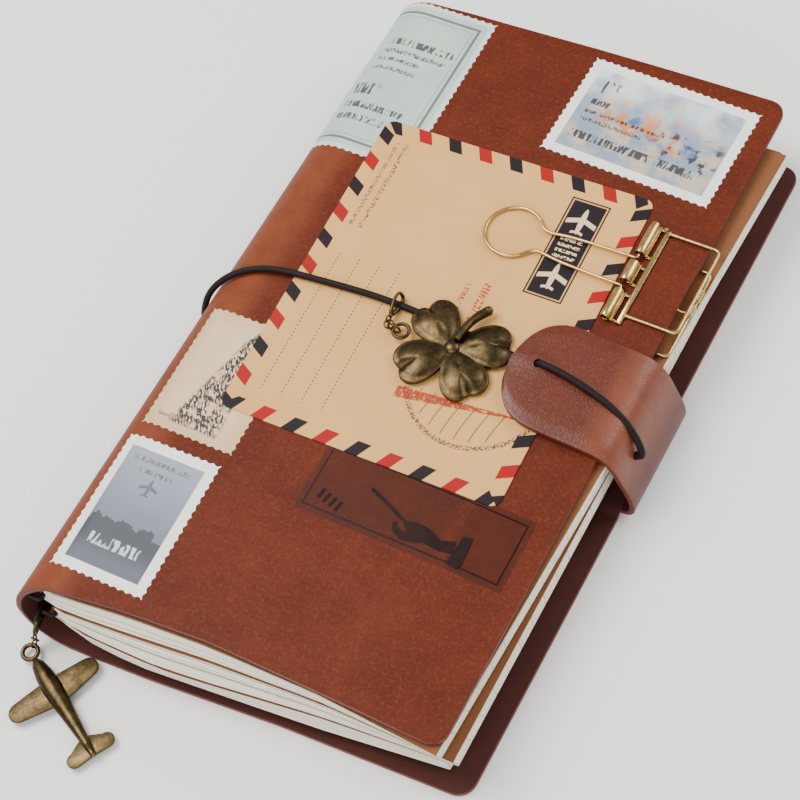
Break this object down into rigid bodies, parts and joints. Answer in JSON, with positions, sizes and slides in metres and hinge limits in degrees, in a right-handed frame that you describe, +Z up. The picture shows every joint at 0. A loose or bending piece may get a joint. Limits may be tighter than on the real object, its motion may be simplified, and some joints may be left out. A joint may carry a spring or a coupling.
{
  "type": "travel notebook",
  "caption": "Refillable leather notebook with inserts, elastic and tab closure, stamp-shaped stickers, postcard, hollow wire clip and hanging charms.",
  "frame": {"origin": "middle of the footprint, on the surface that the back cover rests on", "axes": "+X from the spine to the fore-edge, +Y from the bottom end to the top end, +Z up through the closed notebook"},
  "size_m": [0.1524, 0.2646, 0.0327],
  "materials": {
    "leather": "satin, worn",
    "leather_tab": "glossy, worn",
    "elastic": "braided",
    "kraft": "uncoated card",
    "pages": "uncoated paper",
    "staple": "bright",
    "card": "uncoated card",
    "sticker": "printed paper",
    "film": "clear film",
    "gold_wire": "pale gold plate",
    "bronze": "antiqued"
  },
  "bodies": {
    "back_cover": {"cover_back": "leather", "spine_back_half": "leather", "tab_back": "leather_tab", "closure_elastic_back": "elastic", "closure_knot": "elastic", "insert_3_cover_back": "kraft", "insert_3_pages_back": "pages", "insert_3_staples": "staple", "insert_3_band": "elastic", "charm_loop_bottom": "elastic", "airplane_clasp": "bronze", "airplane_chain": "bronze", "charm_loop_top": "elastic", "medallion_chain": "bronze"},
    "middle_leaves": {"insert_3_cover_front": "kraft", "insert_3_pages_front": "pages", "insert_2_cover_back": "kraft", "insert_2_pages_back": "pages", "insert_2_staples": "staple", "insert_2_band": "elastic"},
    "insert_2_front": {"insert_2_cover_front": "kraft", "insert_2_pages_front": "pages"},
    "front_cover": {"cover_front": "leather", "spine_front_half": "leather", "closure_elastic_front": "elastic", "insert_1_cover_front": "kraft", "insert_1_pages_front": "pages", "insert_1_staples": "staple", "insert_1_band": "elastic", "postcard": "card", "sticker_label": "sticker", "sticker_map": "sticker", "sticker_sketch": "sticker", "sticker_sky": "sticker", "sticker_film": "film", "clip_lower_frame": "gold_wire", "clip_lower_lip": "gold_wire", "clip_lower_handle": "gold_wire", "clip_spring": "gold_wire", "clover_clasp": "bronze", "clover_jump_ring": "bronze"},
    "insert_1_back": {"insert_1_cover_back": "kraft", "insert_1_pages_back": "pages"},
    "closure_tab": {"tab_front": "leather_tab", "closure_elastic_tab": "elastic"},
    "clip_jaw": {"clip_upper_frame": "gold_wire", "clip_upper_lip": "gold_wire"},
    "clip_handle": {"clip_upper_handle": "gold_wire"},
    "clover": {"clover_charm": "bronze"},
    "airplane": {"airplane_charm": "bronze"},
    "medallion": {"medallion_charm": "bronze"}
  },
  "joints": [
    {"name": "cover_open", "type": "hinge", "parent": "back_cover", "child": "front_cover", "pos_m": [-0.06778, 0.01915, 0.0138], "axis": [0, -1, 0], "range_deg": [0, 168], "deforming": ["tab_front", "closure_elastic_tab", "closure_elastic_front", "closure_elastic_back"]},
    {"name": "insert_1_fan", "type": "hinge", "parent": "front_cover", "child": "insert_1_back", "pos_m": [-0.05878, 0.01915, 0.02125], "axis": [0, 1, 0], "range_deg": [0, 5.1]},
    {"name": "middle_fan", "type": "hinge", "parent": "back_cover", "child": "middle_leaves", "pos_m": [-0.06078, 0.01915, 0.00835], "axis": [0, -1, 0], "range_deg": [0, 5.1]},
    {"name": "insert_2_open", "type": "hinge", "parent": "middle_leaves", "child": "insert_2_front", "pos_m": [-0.05748, 0.01915, 0.0148], "axis": [0, -1, 0], "range_deg": [0, 152.1]},
    {"name": "tab_swing", "type": "hinge", "parent": "back_cover", "child": "closure_tab", "pos_m": [0.07372, 0.01715, 0.014], "axis": [0, 1, 0], "range_deg": [0, 147.9]},
    {"name": "clip_jaw_open", "type": "hinge", "parent": "front_cover", "child": "clip_jaw", "pos_m": [0.06582, 0.05715, 0.02675], "axis": [0, 1, 0], "range_deg": [0, 25], "stiffness_Nm_per_rad": 0.05, "springref_deg": -11.46},
    {"name": "clip_handle_flip", "type": "hinge", "parent": "clip_jaw", "child": "clip_handle", "pos_m": [0.04542, 0.05695, 0.0293], "axis": [0, 1, 0], "range_deg": [0, 170]},
    {"name": "clover_lift", "type": "hinge", "parent": "front_cover", "child": "clover", "pos_m": [-0.00688, 0.01335, 0.0304], "axis": [0, -1, 0], "range_deg": [0, 80]},
    {"name": "airplane_swing", "type": "hinge", "parent": "back_cover", "child": "airplane", "pos_m": [-0.06268, -0.10785, 0.0015], "axis": [0, 0, 1], "range_deg": [-100, 6]},
    {"name": "medallion_swing", "type": "hinge", "parent": "back_cover", "child": "medallion", "pos_m": [-0.06918, 0.11605, 0.0014], "axis": [0, 0, -1], "range_deg": [0, 100]}
  ],
  "couplings": [
    {"joint": "insert_1_fan", "follows": "cover_open", "ratio": 0.03},
    {"joint": "middle_fan", "follows": "cover_open", "ratio": 0.03},
    {"joint": "insert_2_open", "follows": "cover_open", "ratio": 0.905},
    {"joint": "tab_swing", "follows": "cover_open", "ratio": 0.88}
  ]
}
